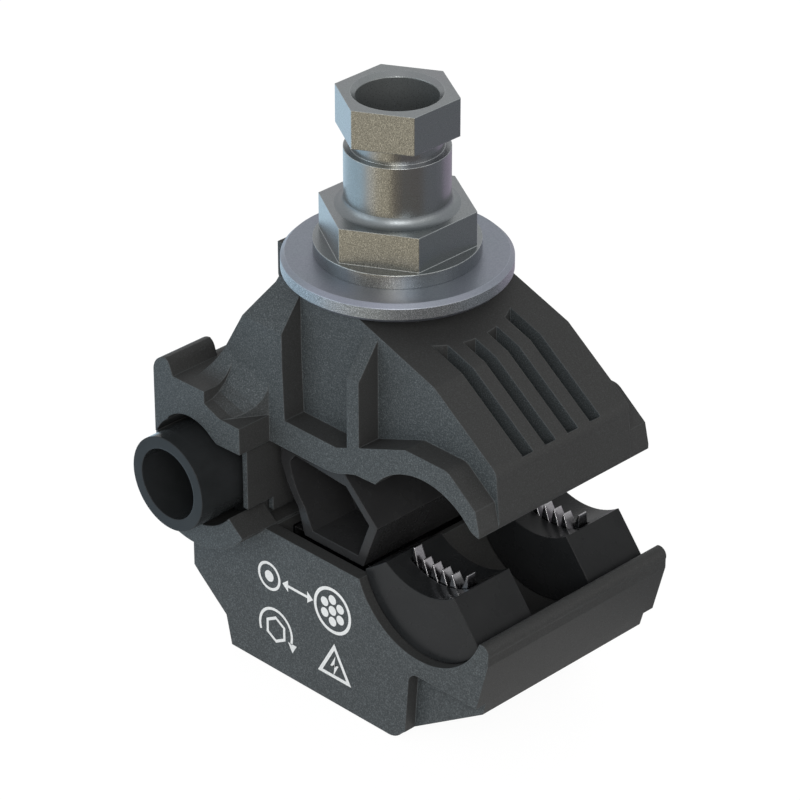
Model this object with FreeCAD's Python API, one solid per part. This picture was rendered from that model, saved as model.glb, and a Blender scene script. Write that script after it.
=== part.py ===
import FreeCAD, Part
import math
import os
from FreeCAD import Vector

# Insulation piercing connector in millimetres.
# X points from the tap side to the main side, Y along the cables, Z up the bolt.
# The origin is the bolt axis at the underside of the lower body.

# Clearances
seat_gap = 0.1
slide_gap = 0.35

# Bolt, washer and shear nut
thread_r = 3.0
thread_fit = 0.05
head_af = 10.0
head_h = 4.0
bolt_past_washer = 9.5
washer_r = 10.8
washer_t = 1.9
washer_edge = 0.4
flange_r = 7.8
flange_h = 1.4
removal_af = 13.0
removal_h = 3.5
barrel_r = 4.95
barrel_h = 5.8
barrel_flare = 0.5
groove_r = 4.3
groove_h = 1.6
shear_af = 10.15
shear_h = 3.8
nut_bore_r = 3.82
nut_bore_chamfer = 0.45
nut_thread_h = 7.0

# Lower body
lower_half = 12.0
base_left = -10.7
base_right = 11.2
side_left = -15.85
side_foot_z = 6.9
ledge_z = 15.4
lip_x = 23.5
lip_top_z = 15.3
lip_foot_x = 22.1
lip_foot_z = 8.2
keel_x = 21.7
keel_z = 6.8
end_recess = 1.3
end_recess_x = 13.4
end_recess_fillet = 1.2
main_x = 14.7
main_z = 18.3
main_r = 8.25
cavity_left = -5.4
cavity_right = 6.4
cavity_floor = 10.4
cavity_half = 10.65
pocket_depth = 5.0
pocket_w = 2.6
pocket_x = 7.9
pocket_count = 3
pocket_pitch = 6.4
pocket_len = 5.0

# Tap side
tap_x = -12.3
sleeve_x = -12.5
trough_z = 21.1
trough_r = 6.4
collar_y = 15.1
collar_r = 8.8
collar_end_angle = 39.0
rear_stop_t = 1.4
sleeve_z = 19.9
sleeve_r = 4.8
sleeve_bore_r = 3.6
sleeve_front = 18.0
sleeve_back = 9.7
sleeve_rib_r = 5.8
sleeve_rib_t = 1.4
sleeve_rib_half = 4.7

# Upper body
upper_half = 11.25
web_half = 8.75
seat_z = 40.8
flat_right = 2.4
bend_x = 13.4
bend_z = 37.0
slope_foot_x = 20.4
slope_foot_z = 31.9
nose_x = 21.6
rim_foot_z = 24.7
arch_z = 21.2
arch_r = 7.7
shelf_z = 27.65
crown_z = 31.1
shoulder_x = -6.6
flank_x = -8.15
flank_z = 38.2
flank_foot_x = -13.4
block_right = -3.75
block_chamfer_z = 36.5
rib_x = 5.5
rib_w = 1.55
rib_top_z = 35.6
rib_slope = 3.5
hood_left = -17.3
hood_top = 29.0
hood_corner = 1.6
hood_wall = 1.1
hood_roof = 2.5
hood_ceiling = hood_top - hood_roof
hood_foot = 18.25
leg_foot_z = 22.6
skirt_x = -6.3
skirt_t = 0.6
skirt_foot = 17.85
skirt_front = 13.55
skirt_deep_foot = 16.45
collar_back = 9.4
collar_top = 29.5
ridge_top = 31.1
ridge_right = -15.0
step_x = -10.3
step_z = 28.3
toe_x = -8.3
toe_z = 27.5
wing_right = -5.6
mouth_half = 3.15
mouth_z = 24.8
mouth_r = 4.77
cove_r = 3.0
ramp_top = 32.7
ramp_right = -7.6
ramp_edge_z = 30.9
closing = 0.5
slot_count = 4
slot_pitch = 2.95
slot_w = 1.4
slot_depth = 2.2
slot_end = 20.9
slot_run_out = 1.7
lug_x = -12.3
lug_half = 3.55
lug_top = 40.35
lug_side = 3.45

# Centre sleeve between the two channels
sleeve_foot_z = 15.5
sleeve_head_z = 27.0
core_half = 10.3
core_web_half = 4.6
core_wall = 0.9
core_left = -5.1
core_right = 3.5
core_shoulder_z = 22.4
core_foot_left = -2.0
core_foot_right = 5.8
core_nose_x = 7.7
core_nose_z = 20.4

# Seals and blades
module_y = 7.45
seal_len = 7.2
upper_seal_len = 5.6
upper_seal_left = 10.7
upper_seal_right = 18.6
upper_seat_z = 28.5
seal_pocket_z = 29.7
blade_t = 1.3
blade_shift = -0.4
seat_x = 13.9
seat_half = 4.35
seat_low_z = 16.6
seat_rise = 1.4
main_teeth = 6
tooth_pitch = 1.22
tooth_lead = 0.25
end_tooth_extra = 0.75
tooth_h = 1.9
tooth_tip = 0.1
tooth_ridge = 1.0
lower_tip_z = 18.0
upper_tip_z = 27.2
tap_teeth = 4
tap_tooth_h = 1.5
tap_seat_r = 4.4
tap_seat_low = 16.3
tap_seat_high = 24.6
tap_seal_half = 4.7
tap_seal_drop = 3.7
lower_tap_tip = 17.9
upper_tap_tip = 23.2
bar_lift = 0.5
bar_under = 0.7
bridge_over = 1.4
bridge_h = 3.2
bar_foot = cavity_floor + bar_lift
bar_head = sleeve_foot_z - closing - bar_under
bridge_foot = sleeve_head_z + bridge_over
bridge_head = bridge_foot + bridge_h

os.makedirs("parts", exist_ok=True)


def profile(start, *moves):
    """Face in the XZ plane. A move is (x, z) for a line or (xm, zm, x, z) for an arc."""
    edges = []
    here = start
    for move in moves + (start,):
        end = (move[-2], move[-1])
        a = Vector(here[0], 0, here[1])
        b = Vector(end[0], 0, end[1])
        if len(move) == 4:
            edges.append(Part.Arc(a, Vector(move[0], 0, move[1]), b).toShape())
        elif a.distanceToPoint(b) > 1e-6:
            edges.append(Part.makeLine(a, b))
        here = end
    return Part.Face(Part.Wire(edges))


def slab(face, y0, y1):
    """Extrude an XZ face from y0 to y1."""
    solid = face.extrude(Vector(0, y1 - y0, 0))
    solid.translate(Vector(0, y0, 0))
    return solid


def box(x0, x1, y0, y1, z0, z1):
    return Part.makeBox(x1 - x0, y1 - y0, z1 - z0, Vector(x0, y0, z0))


def rod_y(x, z, r, y0, y1):
    return Part.makeCylinder(r, y1 - y0, Vector(x, y0, z), Vector(0, 1, 0))


def rod_z(r, z0, z1):
    return Part.makeCylinder(r, z1 - z0, Vector(0, 0, z0))


def hexagon(across_flats, z0, z1):
    """Hexagonal prism on the bolt axis with two flats facing +X and -X."""
    radius = across_flats / math.sqrt(3)
    corners = [Vector(radius * math.cos(math.radians(a)), radius * math.sin(math.radians(a)), z0)
               for a in range(30, 390, 60)]
    face = Part.Face(Part.makePolygon(corners + corners[:1]))
    return face.extrude(Vector(0, 0, z1 - z0))


def on_circle(x, z, r, angle):
    a = math.radians(angle)
    return (x + r * math.cos(a), z + r * math.sin(a))


def arc_to(x, z, r, a0, a1):
    """Arc move from angle a0 to a1 on a circle, for profile()."""
    return on_circle(x, z, r, (a0 + a1) / 2) + on_circle(x, z, r, a1)


def fuse(first, *others):
    return first.fuse(list(others)).removeSplitter()


def save(shape, node):
    solid = shape.Solids[0] if len(shape.Solids) == 1 else shape
    solid.exportStep("parts/" + node + ".step")


def mirrored(shape):
    """Copy on the far side of the XZ plane."""
    return shape.mirror(Vector(0, 0, 0), Vector(0, 1, 0))


def ring_face(r_in, r_out, angle):
    """Open trough section below the tap axis, between the two end angles."""
    a0 = -180 + angle
    a1 = -angle
    start = on_circle(tap_x, trough_z, r_in, a0)
    return profile(start,
                   on_circle(tap_x, trough_z, r_out, a0),
                   arc_to(tap_x, trough_z, r_out, a0, a1),
                   on_circle(tap_x, trough_z, r_in, a1),
                   arc_to(tap_x, trough_z, r_in, a1, a0))


def lower_outline():
    """Outer section of the lower body without its channels."""
    a0 = -180 + collar_end_angle
    corner = math.degrees(math.acos((side_left - tap_x) / collar_r))
    return profile((base_left, 0),
                   (-11.4, 3.1),
                   (-15.1, 6.2),
                   (side_left, side_foot_z),
                   on_circle(tap_x, trough_z, collar_r, -corner),
                   arc_to(tap_x, trough_z, collar_r, -corner, a0),
                   on_circle(tap_x, trough_z, trough_r, a0),
                   arc_to(tap_x, trough_z, trough_r, a0, -collar_end_angle),
                   on_circle(tap_x, trough_z, collar_r, -collar_end_angle),
                   (wing_right, ledge_z),
                   (main_x, ledge_z),
                   (lip_x - 1.2, lip_top_z),
                   (lip_x - 0.2, lip_top_z - 0.1, lip_x, lip_top_z - 1.0),
                   (lip_x, lip_top_z - 1.9),
                   (lip_foot_x, lip_foot_z),
                   (keel_x, keel_z),
                   (base_right + 1.4, 1.0),
                   (base_right + 0.6, 0.25, base_right - 0.6, 0))


def end_recess_cut(y0, y1):
    """Set-back field below the lip on one end face."""
    r = end_recess_fillet
    top = lip_foot_z
    x = end_recess_x
    face = profile((x - 0.6, -1),
                   (x, top - r - 0.2),
                   (x + 0.3 * r, top - 0.3 * r, x + r, top),
                   (lip_foot_x + 2, top),
                   (lip_foot_x + 2, -1))
    return slab(face, y0, y1)


def blade_plate(face, side, gap=0.0):
    """Plate with a blade's outline in the front (-1) or rear (1) module."""
    y = side * module_y + blade_shift
    half = blade_t / 2 + gap
    return slab(face, y - half, y + half)


def lower_body():
    body = slab(lower_outline(), -lower_half, lower_half)
    collar = slab(ring_face(trough_r, collar_r, collar_end_angle), -collar_y, -lower_half)
    rear_stop = slab(ring_face(trough_r - rear_stop_t, trough_r + 1, collar_end_angle),
                     lower_half - rear_stop_t, lower_half)
    body = fuse(body, collar, rear_stop)
    main_channel = rod_y(main_x, main_z, main_r, -lower_half - 1, lower_half + 1)
    cavity = box(cavity_left, cavity_right, -cavity_half, cavity_half, cavity_floor, ledge_z + 5)
    front_field = end_recess_cut(-lower_half - 1, -lower_half + end_recess)
    rear_field = end_recess_cut(lower_half - end_recess, lower_half + 1)
    rib_groove = rod_y(sleeve_x, sleeve_z, sleeve_rib_r + seat_gap,
                       -sleeve_back - sleeve_rib_t - seat_gap, -sleeve_back + seat_gap)
    rib_groove = rib_groove.common(box(sleeve_x - sleeve_rib_half - seat_gap,
                                       sleeve_x + sleeve_rib_half + seat_gap,
                                       -lower_half, 0, 0, sleeve_z))
    cuts = [main_channel, cavity, front_field, rear_field, rib_groove,
            rod_z(thread_r + slide_gap, -1, cavity_floor + 1),
            hexagon(head_af + 2 * seat_gap, -1, head_h + seat_gap)]
    slot = blade_outline_lower(seat_gap)
    for side in (-1, 1):
        cuts.append(blade_plate(slot, side, seat_gap))
    cuts.append(box(skirt_x - skirt_t - slide_gap, cavity_right - 1, -cavity_half, cavity_half,
                    skirt_deep_foot - closing - slide_gap, ledge_z + 5))
    for x in (-pocket_x, pocket_x):
        for k in range(pocket_count):
            y = (k - (pocket_count - 1) / 2) * pocket_pitch
            cuts.append(box(x - pocket_w / 2, x + pocket_w / 2, y - pocket_len / 2, y + pocket_len / 2,
                            -1, pocket_depth))
    return body.cut(cuts)


def tooth(x, lead, y, base_z, tip_z):
    """Saw tooth on a blade's edge, its ridge across the blade at the distance lead from x."""
    rings = []
    for z, x0, x1, width in ((base_z, x, x + tooth_pitch, blade_t),
                             (tip_z, x + lead - tooth_tip / 2, x + lead + tooth_tip / 2, tooth_ridge)):
        rings.append([Vector(x0, y - width / 2, z), Vector(x1, y - width / 2, z),
                      Vector(x1, y + width / 2, z), Vector(x0, y + width / 2, z)])
    foot, tip = rings
    flanks = [[foot[k - 1], foot[k], tip[k], tip[k - 1]] for k in range(4)]
    faces = [Part.Face(Part.makePolygon(ring + ring[:1])) for ring in rings + flanks]
    return Part.Solid(Part.Shell(faces))


def teeth(x_mid, side, count, base_z, tip_z, end_extra):
    """Row of teeth with steep left sides; the end ones are longer and the last one leans inwards."""
    row = []
    for k in range(count):
        x = x_mid + (k - count / 2) * tooth_pitch
        extra = end_extra if k in (0, count - 1) else 0.0
        lead = tooth_pitch - tooth_lead if k == count - 1 else tooth_lead
        row.append(tooth(x, lead, side * module_y + blade_shift, base_z, tip_z + extra))
    return row


def blade_outline_lower(grow=0.0):
    """Bar across the lower body; grown, it is the slot that takes the blade with its teeth."""
    main_half = main_teeth * tooth_pitch / 2 + grow
    tap_half = tap_teeth * tooth_pitch / 2 + grow
    main_base = lower_tip_z + 2 if grow else lower_tip_z - tooth_h
    tap_base = lower_tap_tip + 1 if grow else lower_tap_tip - tap_tooth_h
    return profile((tap_x - tap_half, bar_foot - grow),
                   (tap_x - tap_half, tap_base),
                   (tap_x + tap_half, tap_base),
                   (tap_x + tap_half, bar_head + grow),
                   (seat_x - main_half, bar_head + grow),
                   (seat_x - main_half, main_base),
                   (seat_x + main_half, main_base),
                   (seat_x + main_half, bar_foot - grow))


def blade_outline_upper(grow=0.0):
    """Bridge over the centre sleeve; grown, it is the slot that takes the blade with its teeth."""
    main_half = main_teeth * tooth_pitch / 2 + grow
    tap_half = tap_teeth * tooth_pitch / 2 + grow
    main_base = upper_tip_z - 2 if grow else upper_tip_z + tooth_h
    tap_base = upper_tap_tip - 1 if grow else upper_tap_tip + tap_tooth_h
    return profile((tap_x - tap_half, hood_top - 1 + grow),
                   (tap_x - tap_half, tap_base),
                   (tap_x + tap_half, tap_base),
                   (tap_x + tap_half, bridge_foot - grow),
                   (seat_x - main_half, bridge_foot - grow),
                   (seat_x - main_half, main_base),
                   (seat_x + main_half, main_base),
                   (seat_x + main_half, bridge_head + grow),
                   (flank_x, bridge_head + grow))


def lower_blade(side):
    """Blade with teeth up into both channels."""
    main = teeth(seat_x, side, main_teeth, lower_tip_z - tooth_h, lower_tip_z, end_tooth_extra)
    tap = teeth(tap_x, side, tap_teeth, lower_tap_tip - tap_tooth_h, lower_tap_tip, 0.0)
    return fuse(blade_plate(blade_outline_lower(), side), *(main + tap))


def upper_blade(side):
    """Blade with teeth down into both channels."""
    main = teeth(seat_x, side, main_teeth, upper_tip_z + tooth_h, upper_tip_z, -end_tooth_extra)
    tap = teeth(tap_x, side, tap_teeth, upper_tap_tip + tap_tooth_h, upper_tap_tip, 0.0)
    return fuse(blade_plate(blade_outline_upper(), side), *(main + tap))


def lower_main_seal(side):
    """Rubber block in the main channel with a concave cable seat and a cut-away flank."""
    y0 = side * module_y - seal_len / 2
    body = rod_y(main_x, main_z, main_r - seat_gap, y0, y0 + seal_len)
    seat_edge_z = seat_low_z + seat_rise
    keep = profile((main_x - main_r, seat_edge_z - 2.2),
                   (seat_x - seat_half - 1.2, seat_edge_z - 0.9),
                   (seat_x - seat_half, seat_edge_z),
                   (seat_x, seat_low_z, seat_x + seat_half, seat_edge_z),
                   (main_x + main_r - 1.5, ledge_z - 1.4),
                   (main_x + main_r, main_z - main_r),
                   (main_x - main_r, main_z - main_r))
    body = body.common(slab(keep, y0, y0 + seal_len))
    return body.cut(blade_plate(blade_outline_lower(seat_gap), side, seat_gap))


def upper_main_seal(side):
    """Rubber block above the main channel with an arched seat."""
    y0 = side * module_y - upper_seal_len / 2
    face = profile((upper_seal_left, upper_seat_z - 0.9),
                   (main_x, upper_seat_z, upper_seal_right, upper_seat_z - 0.5),
                   (upper_seal_right, seal_pocket_z),
                   (upper_seal_left, seal_pocket_z))
    body = slab(face, y0, y0 + upper_seal_len)
    return body.cut(blade_plate(blade_outline_upper(seat_gap), side, seat_gap))


def lower_tap_seal():
    """Rubber liner in the lower half of the tap channel."""
    y0 = -sleeve_back + seat_gap
    y1 = lower_half - rear_stop_t - seat_gap
    body = rod_y(tap_x, trough_z, trough_r - seat_gap, y0, y1)
    body = body.common(box(tap_x - tap_seal_half, tap_x + tap_seal_half, y0, y1, 0, trough_z - tap_seal_drop))
    body = body.cut(rod_y(tap_x, tap_seat_low + tap_seat_r, tap_seat_r, y0 - 1, y1 + 1))
    slot = blade_outline_lower(seat_gap)
    return body.cut([blade_plate(slot, -1, seat_gap), blade_plate(slot, 1, seat_gap)])


def upper_tap_seal():
    """Rubber liner under the hood."""
    y0 = -collar_back + seat_gap
    y1 = upper_half - rear_stop_t - seat_gap
    ceiling = hood_ceiling - leg_foot_z
    body = rod_y(tap_x, leg_foot_z, ceiling - seat_gap, y0, y1)
    body = body.common(box(tap_x - ceiling, tap_x + ceiling, y0, y1, leg_foot_z, hood_ceiling))
    body = body.cut(rod_y(tap_x, tap_seat_high - tap_seat_r + 1.0, tap_seat_r - 1.0, y0 - 1, y1 + 1))
    slot = blade_outline_upper(seat_gap)
    return body.cut([blade_plate(slot, -1, seat_gap), blade_plate(slot, 1, seat_gap)])


def tap_sleeve():
    """Rubber entry sleeve for the tap cable with a retaining rib below."""
    body = rod_y(sleeve_x, sleeve_z, sleeve_r, -sleeve_front, -sleeve_back)
    rib = rod_y(sleeve_x, sleeve_z, sleeve_rib_r, -sleeve_back - sleeve_rib_t, -sleeve_back)
    rib = rib.common(box(sleeve_x - sleeve_rib_half, sleeve_x + sleeve_rib_half,
                         -sleeve_back - sleeve_rib_t, -sleeve_back, 0, sleeve_z - 2.5))
    bore = rod_y(sleeve_x, sleeve_z, sleeve_bore_r, -sleeve_front - 1, -sleeve_back + 1)
    return fuse(body, rib).cut(bore)


def arch_bottom_moves():
    """Underside of the upper rim from left to right, after its start at the left."""
    left = (8.4, 25.9)
    right = (20.4, 26.2)
    return [(1.9, rim_foot_z),
            (3.2, rim_foot_z + 0.2, 4.6, rim_foot_z + 0.7),
            (5.8, rim_foot_z + 1.1),
            left,
            (main_x - 0.2, arch_z + arch_r) + right,
            (20.8, 25.95),
            (nose_x - 0.1, 25.8)]


def web_face():
    return profile((hood_left + 2.0, rim_foot_z),
                   *arch_bottom_moves(),
                   (nose_x, 26.4),
                   (21.2, 30.4),
                   (20.9, 31.5, slope_foot_x, slope_foot_z),
                   (bend_x, bend_z),
                   (flat_right, seat_z),
                   (shoulder_x, seat_z),
                   (flank_x, flank_z),
                   (flank_foot_x, hood_top),
                   (hood_left + 2.0, hood_top))


def rim_face():
    return profile((wing_right, rim_foot_z),
                   *arch_bottom_moves(),
                   (nose_x - 0.1, 26.3),
                   (21.0, 28.4),
                   (17.9, 30.8),
                   (17.4, 31.05, 16.8, crown_z),
                   (12.2, crown_z),
                   (6.5, 28.9),
                   (3.3, shelf_z),
                   (wing_right, shelf_z))


def block_face():
    """Full-depth block between the tap side and the first recess."""
    return profile((block_right + 0.25, shelf_z - 1),
                   (block_right, 33.2),
                   (block_right - 0.05, seat_z),
                   (shoulder_x, seat_z),
                   (flank_x, flank_z),
                   (flank_foot_x, hood_top),
                   (flank_foot_x, shelf_z - 1))


def front_layer():
    """Rim, block and rib in front of the web, with sloping tops."""
    depth = upper_half - web_half
    rim = slab(rim_face(), -upper_half, -web_half)
    block = slab(block_face(), -upper_half, -web_half)
    chamfer = Part.Face(Part.makePolygon([Vector(hood_left, -upper_half - 1, block_chamfer_z - 1.1),
                                          Vector(hood_left, -upper_half + 3.4, seat_z + 0.4),
                                          Vector(hood_left, -upper_half - 1, seat_z + 0.4),
                                          Vector(hood_left, -upper_half - 1, block_chamfer_z - 1.1)]))
    block = block.cut(chamfer.extrude(Vector(20, 0, 0)))
    rib_face = Part.Face(Part.makePolygon([Vector(rib_x - rib_w / 2, -upper_half, shelf_z),
                                           Vector(rib_x - rib_w / 2, -upper_half, rib_top_z),
                                           Vector(rib_x - rib_w / 2, -web_half, rib_top_z + rib_slope),
                                           Vector(rib_x - rib_w / 2, -web_half + depth / 2,
                                                  rib_top_z + rib_slope - 0.5),
                                           Vector(rib_x - rib_w / 2, -web_half + depth / 2, shelf_z),
                                           Vector(rib_x - rib_w / 2, -upper_half, shelf_z)]))
    return [rim, block, rib_face.extrude(Vector(rib_w, 0, 0))]


def hood_face():
    r = hood_corner
    return profile((hood_left, leg_foot_z),
                   (hood_left, hood_top - r),
                   (hood_left + 0.3 * r, hood_top - 0.3 * r, hood_left + r, hood_top),
                   (flank_foot_x + 1, hood_top),
                   (skirt_x, hood_top - 1.5),
                   (skirt_x, skirt_foot),
                   (skirt_x - skirt_t, skirt_foot),
                   (skirt_x - skirt_t, leg_foot_z))


def collar_face():
    """Front section of the tap collar with its raised ridge, step and toe."""
    return profile((hood_left, leg_foot_z),
                   (hood_left, ridge_top - 2.0),
                   (hood_left + 0.5, ridge_top - 0.6, hood_left + 1.7, ridge_top),
                   (ridge_right - 0.15, ridge_top - 0.35, ridge_right + 0.1, ridge_top - 0.9),
                   (ridge_right + 0.4, collar_top),
                   (step_x, collar_top + 0.1),
                   (step_x, step_z),
                   (toe_x, toe_z),
                   (wing_right, toe_z),
                   (wing_right, rim_foot_z),
                   (tap_x + mouth_half + 0.4, mouth_z - 0.2),
                   (tap_x + mouth_half - 0.3, mouth_z + 0.2),
                   (tap_x, trough_z + closing - 0.3 + mouth_r, tap_x - mouth_half, mouth_z),
                   (tap_x - mouth_half, leg_foot_z))


def cove():
    """Concave blend between the collar top and the block's front face, ended at the block's flank."""
    x = flank_foot_x - 1
    y = -upper_half
    z = collar_top
    c = cove_r
    m = c * (1 - math.sqrt(0.5))
    edges = [Part.makeLine(Vector(x, y + 1, z - 1), Vector(x, y - c, z - 1)),
             Part.makeLine(Vector(x, y - c, z - 1), Vector(x, y - c, z)),
             Part.Arc(Vector(x, y - c, z), Vector(x, y - m, z + m), Vector(x, y, z + c)).toShape(),
             Part.makeLine(Vector(x, y, z + c), Vector(x, y + 1, z + c)),
             Part.makeLine(Vector(x, y + 1, z + c), Vector(x, y + 1, z - 1))]
    bar = Part.Face(Part.Wire(edges)).extrude(Vector(step_x - x, 0, 0))
    lean = (flank_x - flank_foot_x) / (flank_z - hood_top)
    keep = profile((flank_foot_x - lean, hood_top - 1), (flank_x, flank_z), (flank_x, hood_top - 1))
    return bar.common(slab(keep, -collar_y, 0))


def ramp():
    """Concave ramp from the collar's toe up to the block's front face."""
    foot = rim_foot_z + 1
    rings = []
    for angle in range(0, 91, 15):
        forth = math.sin(math.radians(angle))
        rise = 1 - math.cos(math.radians(angle))
        y = -collar_y + (collar_y - upper_half) * forth
        ridge_x = toe_x + (ramp_right - toe_x) * forth
        edge_x = toe_x + 0.3 + (wing_right - toe_x - 0.3) * forth
        ring = [Vector(step_x, y, foot),
                Vector(step_x, y, step_z + (ramp_top - step_z) * rise),
                Vector(ridge_x, y, toe_z + (ramp_top - toe_z) * rise),
                Vector(edge_x, y, toe_z + (ramp_edge_z - toe_z) * rise),
                Vector(edge_x, y, foot)]
        rings.append(Part.makePolygon(ring + ring[:1]))
    return Part.makeLoft(rings, True, True)


def stop_lug():
    """Upstand beside the washer."""
    face = profile((lug_x, lug_top),
                   (shoulder_x, lug_top),
                   (flank_foot_x + 2.5, 33.0),
                   (lug_x, lug_top - lug_side))
    return slab(face, -lug_half, lug_half)


def slope_slots():
    """Parallel slots down the right slope, from the washer's circle to a rounded run-out."""
    s = slot_depth
    top = 1.5
    rise = (seat_z - bend_z) / (bend_x - flat_right)
    fall = (bend_z - slope_foot_z) / (slope_foot_x - bend_x)
    z_end = bend_z - fall * (slot_end - bend_x)
    out_x = slot_end - slot_run_out
    out_z = z_end + fall * slot_run_out - s
    face = profile((flat_right, seat_z + top),
                   (bend_x, bend_z + top),
                   (slot_end, z_end + top),
                   (slot_end, z_end),
                   (slot_end - 0.3 * slot_run_out, z_end - 0.35 * s, out_x, out_z),
                   (bend_x - 0.9, bend_z + 0.9 * rise - s),
                   (flat_right, seat_z - s))
    first = -slot_pitch * (slot_count - 1) / 2
    slots = []
    for k in range(slot_count):
        y = first + k * slot_pitch
        slot = slab(face, y - slot_w / 2, y + slot_w / 2)
        slots.append(slot.cut(rod_z(washer_r, rim_foot_z, seat_z + 2 * top)))
    return slots


def upper_body():
    web = slab(web_face(), -web_half, web_half)
    front = front_layer()
    back = [mirrored(piece) for piece in front]
    hood = slab(hood_face(), -upper_half, upper_half)
    collar = slab(collar_face(), -collar_y, -collar_back)
    skirt = fuse(box(skirt_x - skirt_t, skirt_x, -skirt_front, upper_half, skirt_foot, rim_foot_z + 1),
                 box(skirt_x - skirt_t, skirt_x, slide_gap - cavity_half, cavity_half - slide_gap,
                     skirt_deep_foot, skirt_foot + 1))
    wall = box(hood_left, hood_left + hood_wall, -collar_back, lower_half - rear_stop_t - slide_gap,
               hood_foot, leg_foot_z + 1)
    body = fuse(web, hood, wall, collar, cove(), ramp(), skirt, stop_lug(), *(front + back))
    ceiling = hood_ceiling - leg_foot_z
    tap_room = fuse(rod_y(tap_x, leg_foot_z, ceiling, -collar_back, upper_half - rear_stop_t),
                    box(tap_x - ceiling, skirt_x - skirt_t, -collar_back, upper_half - rear_stop_t,
                        skirt_foot - 1, leg_foot_z))
    saddle = [rod_y(sleeve_x, sleeve_z + lift, sleeve_r + slide_gap, -sleeve_front, -sleeve_back + slide_gap)
              for lift in (0.0, closing)]
    core_room = box(core_left - seat_gap, core_right + seat_gap, -core_half - seat_gap,
                    core_half + seat_gap, rim_foot_z - 2, sleeve_head_z + seat_gap)
    seal_reach = module_y + upper_seal_len / 2 + seat_gap
    seal_room = box(upper_seal_left - seat_gap, upper_seal_right + seat_gap, -seal_reach, seal_reach,
                    rim_foot_z, seal_pocket_z + seat_gap)
    cuts = saddle + [tap_room, core_room, seal_room,
                     rod_z(thread_r + slide_gap, rim_foot_z - 2, seat_z + 2)]
    slot = blade_outline_upper(seat_gap)
    for side in (-1, 1):
        cuts.append(blade_plate(slot, side, seat_gap))
    return body.cut(cuts + slope_slots())


def core_face():
    return profile((core_left, sleeve_head_z),
                   (core_left, core_shoulder_z),
                   (core_left + 0.8, core_shoulder_z - 2.0, core_left + 2.2, core_shoulder_z - 4.1),
                   (core_foot_left, sleeve_foot_z),
                   (core_foot_right, sleeve_foot_z),
                   (core_nose_x, core_nose_z),
                   (core_right, core_nose_z + 4.0),
                   (core_right, sleeve_head_z))


def centre_sleeve():
    """Hollow guide between the channels, open at both ends, with the bolt through its web."""
    body = slab(core_face(), -core_half, core_half)
    w = core_wall
    hollow = profile((core_left + w + 0.3, core_shoulder_z + 0.4),
                     (core_left + w + 1.0, core_shoulder_z - 2.0, core_left + w + 2.3, core_shoulder_z - 3.9),
                     (core_foot_left + w + 0.15, sleeve_foot_z + w),
                     (core_foot_right - 0.75 * w, sleeve_foot_z + w),
                     (core_nose_x - 1.2 * w, core_nose_z - 0.1),
                     (core_right + 0.1, core_nose_z + 4.0 - 1.3 * w),
                     (core_left + w + 1.0, core_shoulder_z + 1.3))
    front = slab(hollow, -core_half - 1, -core_web_half)
    rear = slab(hollow, core_web_half, core_half + 1)
    return body.cut([front, rear, rod_z(thread_r + slide_gap, sleeve_foot_z - 1, sleeve_head_z + 1)])


def bolt():
    """Captive bolt, its hexagonal head let in flush with the underside."""
    head = hexagon(head_af, 0, head_h)
    shank = rod_z(thread_r, head_h, seat_z + washer_t + bolt_past_washer)
    tip = shank.Edges
    shank = shank.makeChamfer(0.5, [e for e in tip if abs(e.CenterOfMass.z - shank.BoundBox.ZMax) < 1e-6])
    return fuse(head, shank)


def washer():
    body = rod_z(washer_r, seat_z, seat_z + washer_t)
    rims = [e for e in body.Edges if e.Length > 2 * math.pi * washer_r - 1]
    body = body.makeChamfer(washer_edge, rims)
    return body.cut(rod_z(thread_r + slide_gap, seat_z - 1, seat_z + washer_t + 1))


def shear_nut():
    """One turned part: flange, removal hexagon, barrel, shear groove and driving hexagon."""
    z0 = seat_z + washer_t
    z1 = z0 + flange_h
    z2 = z1 + removal_h
    z3 = z2 + barrel_h
    z4 = z3 + groove_h
    z5 = z4 + shear_h
    body = fuse(rod_z(flange_r, z0, z1),
                hexagon(removal_af, z1, z2),
                Part.makeCone(barrel_r + barrel_flare, barrel_r, barrel_flare, Vector(0, 0, z2)),
                rod_z(barrel_r, z2, z3),
                rod_z(groove_r, z3, z4),
                hexagon(shear_af, z4, z5))
    mouth = Part.makeCone(nut_bore_r, nut_bore_r + nut_bore_chamfer, nut_bore_chamfer,
                          Vector(0, 0, z5 - nut_bore_chamfer))
    return body.cut([mouth,
                     rod_z(nut_bore_r, z0 + nut_thread_h, z5 + 1),
                     rod_z(thread_r + thread_fit, z0 - 1, z0 + nut_thread_h + 1)])


save(lower_body(), "lower_body")
save(upper_body(), "upper_body")
save(centre_sleeve(), "centre_sleeve")
save(tap_sleeve(), "tap_sleeve")
save(lower_tap_seal(), "lower_tap_seal")
save(upper_tap_seal(), "upper_tap_seal")
for side, place in ((-1, "front"), (1, "rear")):
    save(lower_main_seal(side), "lower_main_seal_" + place)
    save(upper_main_seal(side), "upper_main_seal_" + place)
    save(lower_blade(side), "lower_blade_" + place)
    save(upper_blade(side), "upper_blade_" + place)
save(bolt(), "bolt")
save(washer(), "washer")
save(shear_nut(), "shear_nut")
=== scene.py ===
import math

import bmesh
import bpy
from mathutils import Matrix, Vector


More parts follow.
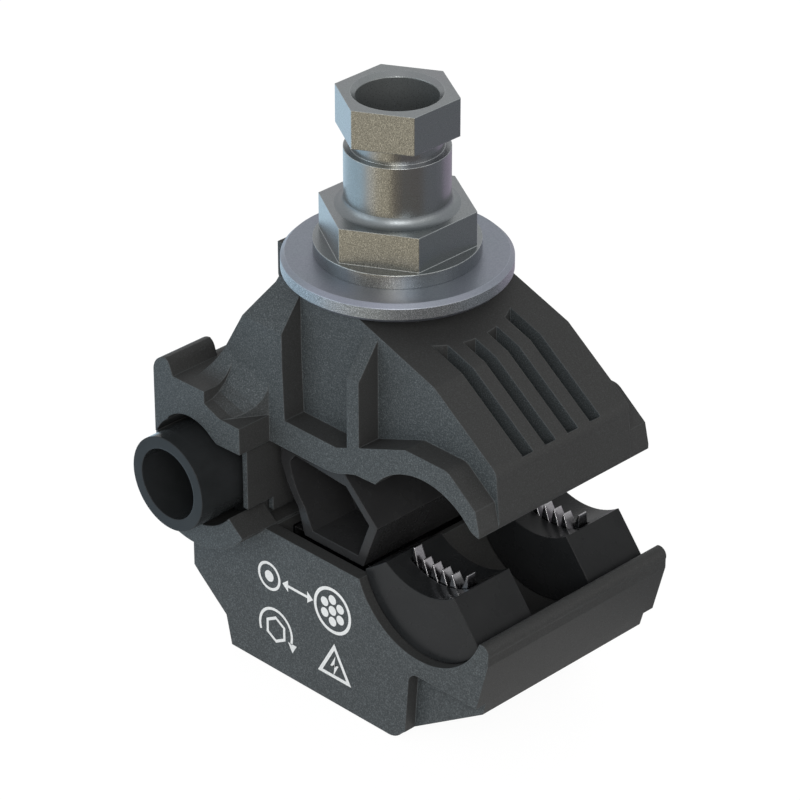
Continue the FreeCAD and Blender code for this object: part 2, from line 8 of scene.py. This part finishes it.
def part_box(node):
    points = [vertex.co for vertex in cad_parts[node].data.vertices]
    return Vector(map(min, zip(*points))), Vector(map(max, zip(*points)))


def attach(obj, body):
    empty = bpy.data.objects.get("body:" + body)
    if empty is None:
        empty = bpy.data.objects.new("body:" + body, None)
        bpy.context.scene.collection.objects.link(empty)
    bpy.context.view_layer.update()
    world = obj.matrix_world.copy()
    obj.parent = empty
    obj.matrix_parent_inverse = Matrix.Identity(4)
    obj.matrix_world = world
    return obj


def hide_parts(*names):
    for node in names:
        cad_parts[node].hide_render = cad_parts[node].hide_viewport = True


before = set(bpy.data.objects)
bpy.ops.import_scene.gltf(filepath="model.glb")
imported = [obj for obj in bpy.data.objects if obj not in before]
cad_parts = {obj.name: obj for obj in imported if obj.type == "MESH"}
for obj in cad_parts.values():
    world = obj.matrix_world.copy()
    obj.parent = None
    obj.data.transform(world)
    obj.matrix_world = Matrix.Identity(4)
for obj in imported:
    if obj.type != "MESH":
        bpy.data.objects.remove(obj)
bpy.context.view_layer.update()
MM = 0.001

BLADES = ["lower_blade_front", "lower_blade_rear", "upper_blade_front", "upper_blade_rear"]
SEALS = ["lower_main_seal_front", "lower_main_seal_rear", "upper_main_seal_front",
         "upper_main_seal_rear", "lower_tap_seal", "upper_tap_seal"]
NODE_SHARP_ANGLE = 30
PIECE_SHARP_ANGLE = 35

# Bolt
HEAD_H = 4.0 * MM
HEAD_HALF = 5.0 * MM
HEAD_CHAMFER = 0.35 * MM
THREAD_CREST = 2.98 * MM
THREAD_ROOT = 2.56 * MM
THREAD_PITCH = 1.0 * MM
THREAD_START = 20.0 * MM
THREAD_END_CHAMFER = 0.35 * MM
THREAD_FORM = (0.05, 0.3, 0.65, 0.95, 1.0, 0.7, 0.35, 0.05)

# Nut: its bore, and the fillet at the foot of its barrel
NUT_BORE_R = 3.9 * MM
BARREL_R = 4.95 * MM
BARREL_FOOT_Z = 47.6 * MM
FILLET_SIZE = 0.86 * MM
FILLET_LIFT = 0.003 * MM

# Toe of the hood's wall beside the tap sleeve, in millimetres
TOE_LOW = (-17.28, -15.05, 22.1)
TOE_HIGH = (-17.0, -9.45, 22.7)

# Print on the lower body's front face, in millimetres
PRINT_Y = -12.012
TAP_MARK = (-5.2, 10.3)
MAIN_MARK = (3.4, 10.3)
TURN_MARK = (-4.4, 4.6)
SHOCK_MARK = (3.6, 4.1)

# Camera
CAMERA_AZIMUTH = 45.02
CAMERA_ELEVATION = 29.885
CAMERA_DISTANCE = 370.815 * MM
TARGET_HEIGHT = 26.773 * MM
TARGET_SHIFT = 0.228 * MM
SENSOR_WIDTH = 36.0
FOCAL_PIXELS = 3953.37
PICTURE_PIXELS = 800

# Light: lamps as azimuth, elevation, distance, size, watts, colour and whether metal mirrors them
WORLD_LEVEL = 0.40
LAMP_AIM_Z = 0.025
LAMPS = {
    "key": (245, 16, 0.6, (0.5, 0.4), 0.85, (0.86, 0.98, 1.06), True),
    "front": (318, 30, 0.7, (0.4, 0.4), 2.6, (1.0, 0.97, 0.94), True),
    "fill": (12, 25, 0.7, (0.4, 0.4), 0.5, (1.0, 0.93, 0.86), True),
    "back": (135, 14, 0.6, (0.5, 0.3), 2.4, (1.0, 1.0, 0.99), False),
}

# Cards on the floor as start angle, end angle and colour
CARD_RADII = (0.03, 0.45)
CARDS = (
    (150, 240, (0.92, 1.18, 1.38)),
    (268, 302, (0.80, 0.76, 0.66)),
    (302, 370, (0.25, 0.22, 0.20)),
    (370, 425, (0.30, 0.31, 0.33)),
    (425, 475, (0.56, 0.49, 0.60)),
    (475, 510, (0.34, 0.34, 0.35)),
)


def scaled(colour, factor):
    return tuple(factor * c for c in colour)


def blended(a, b, share):
    """Colour a with a share of colour b."""
    return tuple((1 - share) * u + share * v for u, v in zip(a, b))


def circle_point(radius, turn, x=0.0, y=0.0):
    """Point on a circle, the turn in radians."""
    return x + radius * math.cos(turn), y + radius * math.sin(turn)


class Nodes:
    """Small helper for building the nodes of a material or the world."""

    def __init__(self, owner, output):
        self.owner = owner
        owner.use_nodes = True
        self.tree = owner.node_tree
        self.tree.nodes.clear()
        self.out = self.add(output)

    def add(self, kind, **values):
        node = self.tree.nodes.new(kind)
        for key, value in values.items():
            setattr(node, key, value)
        return node

    def link(self, a, b):
        self.tree.links.new(a, b)

    def put(self, socket, value):
        if isinstance(value, bpy.types.NodeSocket):
            self.link(value, socket)
        elif isinstance(value, tuple) and len(value) == 3 and socket.type == "RGBA":
            socket.default_value = (*value, 1.0)
        else:
            socket.default_value = value

    def place(self):
        """Position on the object."""
        return self.add("ShaderNodeTexCoord").outputs["Object"]

    def normal(self, name="Normal"):
        return self.add("ShaderNodeNewGeometry").outputs[name]

    def axis(self, vector, name):
        """One coordinate of a vector, without its sign."""
        n = self.add("ShaderNodeSeparateXYZ")
        self.link(vector, n.inputs[0])
        return self.math("ABSOLUTE", n.outputs[name])

    def vector_math(self, op, a, b=None):
        n = self.add("ShaderNodeVectorMath", operation=op)
        self.put(n.inputs[0], a)
        if b is not None:
            self.put(n.inputs[1], b)
        return n

    def noise(self, scale, detail=2.0, rough=0.5):
        n = self.add("ShaderNodeTexNoise")
        self.link(self.place(), n.inputs["Vector"])
        n.inputs["Scale"].default_value = scale
        n.inputs["Detail"].default_value = detail
        n.inputs["Roughness"].default_value = rough
        return n.outputs["Fac"]

    def math(self, op, a, b=0.0):
        n = self.add("ShaderNodeMath", operation=op)
        self.put(n.inputs[0], a)
        self.put(n.inputs[1], b)
        return n.outputs[0]

    def ramp(self, fac, stops):
        n = self.add("ShaderNodeValToRGB")
        ramp = n.color_ramp
        while len(ramp.elements) < len(stops):
            ramp.elements.new(0.5)
        for element, (position, colour) in zip(ramp.elements, stops):
            element.position = position
            element.color = (*colour, 1.0)
        self.put(n.inputs["Fac"], fac)
        return n.outputs["Color"]

    def mix(self, fac, a, b):
        n = self.add("ShaderNodeMix", data_type="RGBA")
        self.put(n.inputs["Factor"], fac)
        self.put(n.inputs["A"], a)
        self.put(n.inputs["B"], b)
        return n.outputs["Result"]

    def range(self, value, from_min, from_max, to_min, to_max):
        n = self.add("ShaderNodeMapRange")
        self.put(n.inputs["Value"], value)
        n.inputs["From Min"].default_value = from_min
        n.inputs["From Max"].default_value = from_max
        n.inputs["To Min"].default_value = to_min
        n.inputs["To Max"].default_value = to_max
        return n.outputs["Result"]

    def bump(self, height, strength, distance, normal=None):
        n = self.add("ShaderNodeBump")
        self.put(n.inputs["Height"], height)
        self.put(n.inputs["Strength"], strength)
        n.inputs["Distance"].default_value = distance
        if normal:
            self.link(normal, n.inputs["Normal"])
        return n.outputs["Normal"]

    def soft_edge(self, radius):
        """Rounded normal at sharp edges."""
        n = self.add("ShaderNodeBevel", samples=6)
        n.inputs["Radius"].default_value = radius
        return n.outputs["Normal"]

    def edge_mask(self, radius):
        """1 on sharp edges and 0 on flat faces."""
        turn = self.vector_math("DOT_PRODUCT", self.soft_edge(radius), self.normal())
        return self.range(turn.outputs["Value"], 0.995, 0.85, 0.0, 1.0)

    # Painted highlight along sharp edges: the colour is mixed towards a paler one there.
    def painted_edge_highlight(self, colour, radius, share, highlight_colour):
        return self.mix(self.math("MULTIPLY", self.edge_mask(radius), share), colour, highlight_colour)

    def seen_rays(self):
        """1 for camera, glossy and transmission rays."""
        path = self.add("ShaderNodeLightPath")
        through = self.math("MAXIMUM", path.outputs["Is Glossy Ray"], path.outputs["Is Transmission Ray"])
        return self.math("MAXIMUM", path.outputs["Is Camera Ray"], through)

    def join(self, fac, first, second):
        """Mix two shaders into the output."""
        n = self.add("ShaderNodeMixShader")
        self.put(n.inputs["Fac"], fac)
        self.link(first.outputs[0], n.inputs[1])
        self.link(second.outputs[0], n.inputs[2])
        self.link(n.outputs[0], self.out.inputs["Surface"])

    def finish(self, **inputs):
        """Principled shader with these inputs, spaces written as underscores."""
        n = self.add("ShaderNodeBsdfPrincipled")
        for key, value in inputs.items():
            self.put(n.inputs[key.replace("_", " ")], value)
        self.link(n.outputs[0], self.out.inputs["Surface"])
        return self.owner


def material_nodes(name):
    return Nodes(bpy.data.materials.new(name), "ShaderNodeOutputMaterial")


def moulded_plastic(name, smooth, grained_and_lit, speck):
    """Dark moulding; its end faces, which look along Y, are speckled by spark erosion and painted paler and cooler,
    as painted light from the front.
    """
    m = material_nodes(name)
    # End faces: real grain from spark erosion, and painted light that makes them paler and cooler than the other
    # faces.
    grain_and_light_mask = m.range(m.axis(m.normal("True Normal"), "Y"), 0.35, 0.8, 0.22, 1.0)
    dots = m.noise(7800, 1.5, 0.62)
    fine = m.noise(14000, 1.0)
    cloud = m.noise(90, 3.0, 0.55)
    tint = m.ramp(dots, [(0.38, scaled(grained_and_lit, 0.86)), (0.58, blended(grained_and_lit, speck, 0.3)), (0.74, speck)])
    colour = m.mix(grain_and_light_mask, smooth, tint)
    colour = m.mix(m.range(cloud, 0.3, 0.7, 0.0, 0.15), colour, scaled(smooth, 0.6))
    # Painted highlights along the sharp edges.
    colour = m.painted_edge_highlight(colour, 0.14 * MM, 0.3, scaled(speck, 1.3))
    height = m.math("MULTIPLY", m.math("ADD", dots, m.math("MULTIPLY", fine, 0.5)), grain_and_light_mask)
    return m.finish(Base_Color=colour, Roughness=m.range(fine, 0.3, 0.7, 0.5, 0.66), Specular_IOR_Level=0.22,
                    Normal=m.bump(height, 0.5, 0.03 * MM, m.soft_edge(0.16 * MM)))


def rubber(name, base, light, rough):
    """Soft black surface with faint clouds and painted highlights on its edges."""
    m = material_nodes(name)
    cloud = m.noise(260, 4.0, 0.6)
    colour = m.ramp(cloud, [(0.3, base), (0.75, light)])
    # Painted highlights on the edges.
    colour = m.painted_edge_highlight(colour, 0.1 * MM, 0.3, scaled(light, 2.4))
    return m.finish(Base_Color=colour, Roughness=m.range(cloud, 0.3, 0.7, rough - 0.06, rough + 0.06),
                    Specular_IOR_Level=0.12,
                    Normal=m.bump(m.noise(7000), 0.12, 0.02 * MM, m.soft_edge(0.14 * MM)))


def painted_glint_flats(m):
    """1 on the hexagon flats that face one way and its opposite, soft on round parts; these get painted glints."""
    turn = m.vector_math("DOT_PRODUCT", m.normal(), (0.5, -0.866, 0.0))
    return m.range(m.math("ABSOLUTE", turn.outputs["Value"]), 0.93, 0.99, 0.0, 1.0)


def frosted_sides(m):
    """1 on upright faces and 0 on level ones."""
    return m.range(m.axis(m.normal(), "Z"), 0.25, 0.6, 1.0, 0.0)


def plated_metal(name, base, rough, grain, frost_and_glints=None, frost_and_glint_faces=painted_glint_flats, metallic=1.0,
                 edge=0.14 * MM, edge_highlight_share=0.45, bore_r=0.0):
    """Zinc-plated metal with painted highlights on its edges; frost speckles the chosen faces, on the nut's flats
    as painted glints, and a bore's wall is a little darker, as painted shade, and less metallic.
    """
    m = material_nodes(name)
    speck = m.noise(7200, 2.0, 0.7)
    cloud = m.noise(160, 3.0)
    colour = m.mix(m.range(speck, 0.35, 0.65, 0.0, 1.0), scaled(base, 0.86), base)
    warm = (1.04 * base[0], 0.88 * base[1], base[2])
    colour = m.mix(m.range(cloud, 0.4, 0.75, 0.0, 0.3), colour, warm)
    # Frost speckle on the faces the mask picks: real speckle on the washer's rim, and painted glints on the nut's
    # flats that face one way.
    if frost_and_glints:
        dots = m.ramp(m.noise(15000, 0.5), [(0.36, scaled(frost_and_glints, 0.66)), (0.54, frost_and_glints), (0.70, scaled(frost_and_glints, 1.8))])
        colour = m.mix(frost_and_glint_faces(m), colour, dots)
    # Painted highlights along the sharp edges.
    colour = m.painted_edge_highlight(colour, 0.12 * MM, edge_highlight_share, tuple(min(0.85, 2.2 * c) for c in base))
    # The bore's wall: a little darker, as painted shade in the hollow, and less metallic.
    if bore_r:
        flat = m.vector_math("MULTIPLY", m.place(), (1.0, 1.0, 0.0))
        radius = m.vector_math("LENGTH", flat.outputs[0]).outputs["Value"]
        inside = m.range(radius, bore_r - 0.04 * MM, bore_r, 1.0, 0.0)
        colour = m.mix(inside, colour, scaled(base, 0.9))
        metallic = m.range(inside, 0.0, 1.0, metallic, 0.7)
    return m.finish(Base_Color=colour, Metallic=metallic,
                    Roughness=m.range(speck, 0.3, 0.7, rough + 0.05, rough - 0.05),
                    Normal=m.bump(speck, grain, 0.02 * MM, m.soft_edge(edge)))


def white_ink():
    m = material_nodes("white_ink")
    grain = m.noise(5000, 2.0, 0.6)
    colour = m.mix(m.range(grain, 0.35, 0.7, 0.0, 1.0), (0.70, 0.71, 0.71), (0.82, 0.83, 0.83))
    return m.finish(Base_Color=colour, Roughness=0.55, Specular_IOR_Level=0.3,
                    Normal=m.bump(grain, 0.2, 0.01 * MM))


def apply(material, *names):
    for name in names:
        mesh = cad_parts[name].data
        mesh.materials.clear()
        mesh.materials.append(material)


def smooth_mesh(mesh, angle):
    """Smooth shading with sharp edges kept."""
    for face in mesh.polygons:
        face.use_smooth = True
    mesh.set_sharp_from_angle(angle=math.radians(angle))


def linked_object(name, bm, material):
    mesh = bpy.data.meshes.new(name)
    bm.to_mesh(mesh)
    bm.free()
    mesh.materials.append(material)
    obj = bpy.data.objects.new(name, mesh)
    bpy.context.scene.collection.objects.link(obj)
    return obj


def piece(name, bm, material, body):
    obj = linked_object(name, bm, material)
    smooth_mesh(obj.data, PIECE_SHARP_ANGLE)
    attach(obj, body)
    return obj


def skin(bm, rings):
    """Faces between closed rings of the same number of points."""
    for a, b in zip(rings, rings[1:]):
        for s in range(len(a)):
            t = (s + 1) % len(a)
            bm.faces.new((a[s], a[t], b[t], b[s]))


def thread_radius(phase):
    """Radius of the thread's form at a phase of 0 to 1 turn."""
    step, part = divmod(phase * len(THREAD_FORM), 1.0)
    low, high = (THREAD_ROOT + (THREAD_CREST - THREAD_ROOT) * THREAD_FORM[int(i) % len(THREAD_FORM)]
                 for i in (step, step + 1))
    return low * (1 - part) + high * part


def threaded_bolt(material):
    """Bolt with a real helical thread, its hexagonal head flush with the underside."""
    low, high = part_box("bolt")
    around = 36
    end = high.z - THREAD_END_CHAMFER
    rows = int((end - THREAD_START) / THREAD_PITCH * len(THREAD_FORM))
    turns = [2 * math.pi * s / around for s in range(around)]
    bm = bmesh.new()
    rings = [[bm.verts.new((*circle_point(THREAD_CREST, a), z)) for a in turns]
             for z in (HEAD_H, THREAD_START - 0.3 * MM)]
    for k in range(rows + 1):
        z = THREAD_START + k * (end - THREAD_START) / rows
        ring = []
        for s, a in enumerate(turns):
            r = thread_radius(((z - THREAD_START) / THREAD_PITCH - s / around) % 1.0)
            if k in (0, rows):
                r = min(r, THREAD_ROOT + 0.1 * MM)
            ring.append(bm.verts.new((*circle_point(r, a), z)))
        rings.append(ring)
    skin(bm, rings)
    bm.faces.new(rings[-1])
    bm.faces.new(list(reversed(rings[0])))
    corner = HEAD_HALF / math.cos(math.pi / 6)
    head = [[bm.verts.new((*circle_point(r, math.radians(30 + 60 * s)), z)) for s in range(6)]
            for z, r in ((low.z, corner * 0.96), (low.z + HEAD_CHAMFER, corner), (HEAD_H, corner))]
    skin(bm, head)
    bm.faces.new(list(reversed(head[0])))
    bm.faces.new(head[-1])
    bolt = piece("threaded_bolt", bm, material, "base")
    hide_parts("bolt")


def fillet_ring(name, radius, z, size, material, body):
    """Concave fillet between a round barrel and the flat face it stands on."""
    bm = bmesh.new()
    around, up = 72, 8
    rings = []
    for k in range(up + 1):
        a = math.pi / 2 * k / up
        r = radius + size * (1 - math.sin(a)) + FILLET_LIFT
        h = z + size * (1 - math.cos(a)) + FILLET_LIFT
        rings.append([bm.verts.new((*circle_point(r, 2 * math.pi * s / around), h)) for s in range(around)])
    skin(bm, rings)
    return piece(name, bm, material, body)


def block_piece(name, low, high, material, body):
    """Box between two corners in millimetres."""
    bm = bmesh.new()
    bmesh.ops.create_cube(bm, size=1.0)
    middle = [(a + b) / 2 * MM for a, b in zip(low, high)]
    for v in bm.verts:
        v.co = Vector([c + u * (b - a) * MM for c, u, a, b in zip(middle, v.co, low, high)])
    return piece(name, bm, material, body)


class Stencil:
    """Flat print on a front face, drawn in X and Z millimetres."""

    def __init__(self, y):
        self.bm = bmesh.new()
        self.y = y * MM

    def polygon(self, *points):
        self.bm.faces.new([self.bm.verts.new((x * MM, self.y, z * MM)) for x, z in points])

    def disc(self, centre, r, sides=28):
        self.polygon(*(circle_point(r, 2 * math.pi * k / sides, *centre) for k in range(sides)))

    def ring(self, centre, r0, r1, start=0.0, end=360.0, sides=48):
        """Arc of a ring, or with few sides the outline of a regular polygon."""
        turns = [math.radians(start + (end - start) * k / sides) for k in range(sides + 1)]
        for a, b in zip(turns, turns[1:]):
            self.polygon(circle_point(r0, a, *centre), circle_point(r1, a, *centre),
                         circle_point(r1, b, *centre), circle_point(r0, b, *centre))

    def outline(self, centre, r0, r1, corners, turn):
        self.ring(centre, r0, r1, turn, turn + 360, corners)


def cable_marks(ink):
    """Plain pictograms: tap and main conductors joined by an arrow, tighten, and live-part warning."""
    p = Stencil(PRINT_Y)
    p.ring(MAIN_MARK, 2.15, 2.5)
    p.disc(MAIN_MARK, 0.5)
    for k in range(6):
        p.disc(circle_point(1.2, math.radians(60 * k + 30), *MAIN_MARK), 0.5)
    p.ring(TAP_MARK, 1.25, 1.55)
    p.disc(TAP_MARK, 0.6)
    left, right, level = -2.6, 0.0, MAIN_MARK[1]
    p.polygon((left, level - 0.15), (right, level - 0.15), (right, level + 0.15), (left, level + 0.15))
    for x, tip in ((left, left - 0.8), (right, right + 0.8)):
        p.polygon((x, level - 0.65), (tip, level), (x, level + 0.65))
    p.outline(TURN_MARK, 1.15, 1.5, 6, 30)
    p.ring(TURN_MARK, 2.05, 2.35, 200, -20)
    p.polygon((-2.75, 3.95), (-1.55, 3.95), (-2.15, 2.95))
    p.outline(SHOCK_MARK, 1.85, 2.6, 3, 90)
    p.polygon((3.75, 5.35), (3.05, 4.05), (3.55, 4.05))
    p.polygon((3.45, 3.05), (4.15, 4.35), (3.65, 4.35))
    p.polygon((3.3, 4.05), (3.65, 4.05), (3.9, 4.35), (3.55, 4.35))
    p.bm.normal_update()
    for face in p.bm.faces:
        if face.normal.y > 0:
            face.normal_flip()
    marks = linked_object("cable_marks", p.bm, ink)
    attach(marks, "base")


def stage_floor():
    """Pale floor that keeps the object's shadow and is seen nearly white."""
    bpy.ops.mesh.primitive_plane_add(size=6.0, location=(0, 0, -0.0002))
    floor = bpy.context.object
    floor.name = "floor"
    m = material_nodes("floor_pale")
    diffuse = m.add("ShaderNodeBsdfDiffuse")
    m.put(diffuse.inputs["Color"], m.mix(m.noise(30), (0.90, 0.90, 0.90), (0.92, 0.92, 0.92)))
    glow = m.add("ShaderNodeEmission")
    glow.inputs["Strength"].default_value = 1.05
    m.join(m.math("MULTIPLY", m.seen_rays(), 0.9), diffuse, glow)
    floor.data.materials.append(m.owner)


def world_light(level):
    """Plain light on the object, and white behind it and in what it mirrors."""
    world = bpy.data.worlds.new("studio")
    bpy.context.scene.world = world
    w = Nodes(world, "ShaderNodeOutputWorld")
    plain = w.add("ShaderNodeBackground")
    plain.inputs["Color"].default_value = (0.98, 0.99, 1.0, 1.0)
    plain.inputs["Strength"].default_value = level
    white = w.add("ShaderNodeBackground")
    white.inputs["Strength"].default_value = 1.0
    w.join(w.seen_rays(), plain, white)


def soft_box(name, azimuth, elevation, distance, size, watts, colour, mirrored):
    a, e = math.radians(azimuth), math.radians(elevation)
    place = Vector((math.cos(a) * math.cos(e), math.sin(a) * math.cos(e), math.sin(e))) * distance
    light = bpy.data.lights.new(name, "AREA")
    light.shape = "RECTANGLE"
    light.size, light.size_y = size
    light.energy = watts
    light.color = colour
    obj = bpy.data.objects.new(name, light)
    obj.location = place + Vector((0, 0, LAMP_AIM_Z))
    obj.rotation_euler = (-place).to_track_quat("-Z", "Y").to_euler()
    obj.visible_camera = False
    obj.visible_glossy = mirrored
    bpy.context.scene.collection.objects.link(obj)


def glossy_card(name, from_angle, to_angle, colour):
    """Card on the floor that only shiny surfaces see, so that metal shows bands."""
    steps = 24
    bm = bmesh.new()
    turns = [math.radians(from_angle + (to_angle - from_angle) * k / steps) for k in range(steps + 1)]
    inner, outer = ([bm.verts.new((*circle_point(r, a), -0.0001)) for a in turns] for r in CARD_RADII)
    for k in range(steps):
        bm.faces.new((inner[k], inner[k + 1], outer[k + 1], outer[k]))
    m = material_nodes(name)
    glow = m.add("ShaderNodeEmission")
    m.put(glow.inputs["Color"], colour)
    m.link(glow.outputs[0], m.out.inputs["Surface"])
    card = linked_object(name, bm, m.owner)
    for kind in ("camera", "diffuse", "shadow", "transmission"):
        setattr(card, "visible_" + kind, False)


def camera():
    azimuth, elevation = math.radians(CAMERA_AZIMUTH), math.radians(CAMERA_ELEVATION)
    right = Vector((math.cos(azimuth), math.sin(azimuth), 0))
    forward = Vector((-math.sin(azimuth) * math.cos(elevation), math.cos(azimuth) * math.cos(elevation),
                      -math.sin(elevation)))
    target = Vector((0, 0, TARGET_HEIGHT)) + right * TARGET_SHIFT
    data = bpy.data.cameras.new("camera")
    data.sensor_width = SENSOR_WIDTH
    data.lens = SENSOR_WIDTH * FOCAL_PIXELS / PICTURE_PIXELS
    data.clip_start = 0.01
    cam = bpy.data.objects.new("camera", data)
    m = Matrix.Identity(4)
    m.col[0][:3] = right
    m.col[1][:3] = right.cross(forward)
    m.col[2][:3] = -forward
    m.col[3][:3] = target - forward * CAMERA_DISTANCE
    cam.matrix_world = m
    bpy.context.scene.collection.objects.link(cam)
    bpy.context.scene.camera = cam


black = moulded_plastic("black_plastic", (0.031, 0.030, 0.029), (0.042, 0.050, 0.054), (0.124, 0.140, 0.148))
inner = rubber("inner_plastic", (0.022, 0.022, 0.023), (0.029, 0.030, 0.031), 0.26)
seal = rubber("seal_rubber", (0.014, 0.015, 0.016), (0.019, 0.020, 0.021), 0.27)
sleeve = rubber("sleeve_rubber", (0.017, 0.019, 0.020), (0.023, 0.025, 0.027), 0.20)
tinned = plated_metal("tinned_metal", (0.34, 0.34, 0.35), 0.22, 0.05)
# The nut's khaki frost is painted glints on one pair of flats.
nut_metal = plated_metal("nut_zinc", (0.262, 0.282, 0.288), 0.30, 0.06, frost_and_glints=(0.300, 0.290, 0.255),
                         bore_r=NUT_BORE_R)
# Darker, rougher copy of the nut's metal: painted shade in the fillet at the barrel's foot.
shaded_fillet_metal = plated_metal("nut_fillet_shaded", (0.225, 0.247, 0.258), 0.40, 0.05, edge=0.4 * MM, edge_highlight_share=0.0)
washer_metal = plated_metal("washer_zinc", (0.264, 0.291, 0.336), 0.40, 0.108, frost_and_glints=(0.250, 0.272, 0.292),
                            frost_and_glint_faces=frosted_sides, metallic=0.92, edge=0.12 * MM)
bolt_metal = plated_metal("bolt_zinc", (0.27, 0.29, 0.31), 0.35, 0.2)

apply(black, "lower_body", "upper_body")
apply(inner, "centre_sleeve")
apply(seal, *SEALS)
apply(sleeve, "tap_sleeve")
apply(tinned, *BLADES)
apply(nut_metal, "shear_nut")
apply(washer_metal, "washer")
apply(bolt_metal, "bolt")
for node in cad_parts.values():
    smooth_mesh(node.data, NODE_SHARP_ANGLE)

threaded_bolt(bolt_metal)
fillet_ring("barrel_foot", BARREL_R, BARREL_FOOT_Z, FILLET_SIZE, shaded_fillet_metal, "nut")
block_piece("leg_toe", TOE_LOW, TOE_HIGH, black, "jaw")
cable_marks(white_ink())

stage_floor()
world_light(WORLD_LEVEL)
for lamp, values in LAMPS.items():
    soft_box(lamp, *values)
for number, card in enumerate(CARDS):
    glossy_card("card_" + str(number), *card)
camera()
bpy.context.scene.view_settings.view_transform = "Standard"
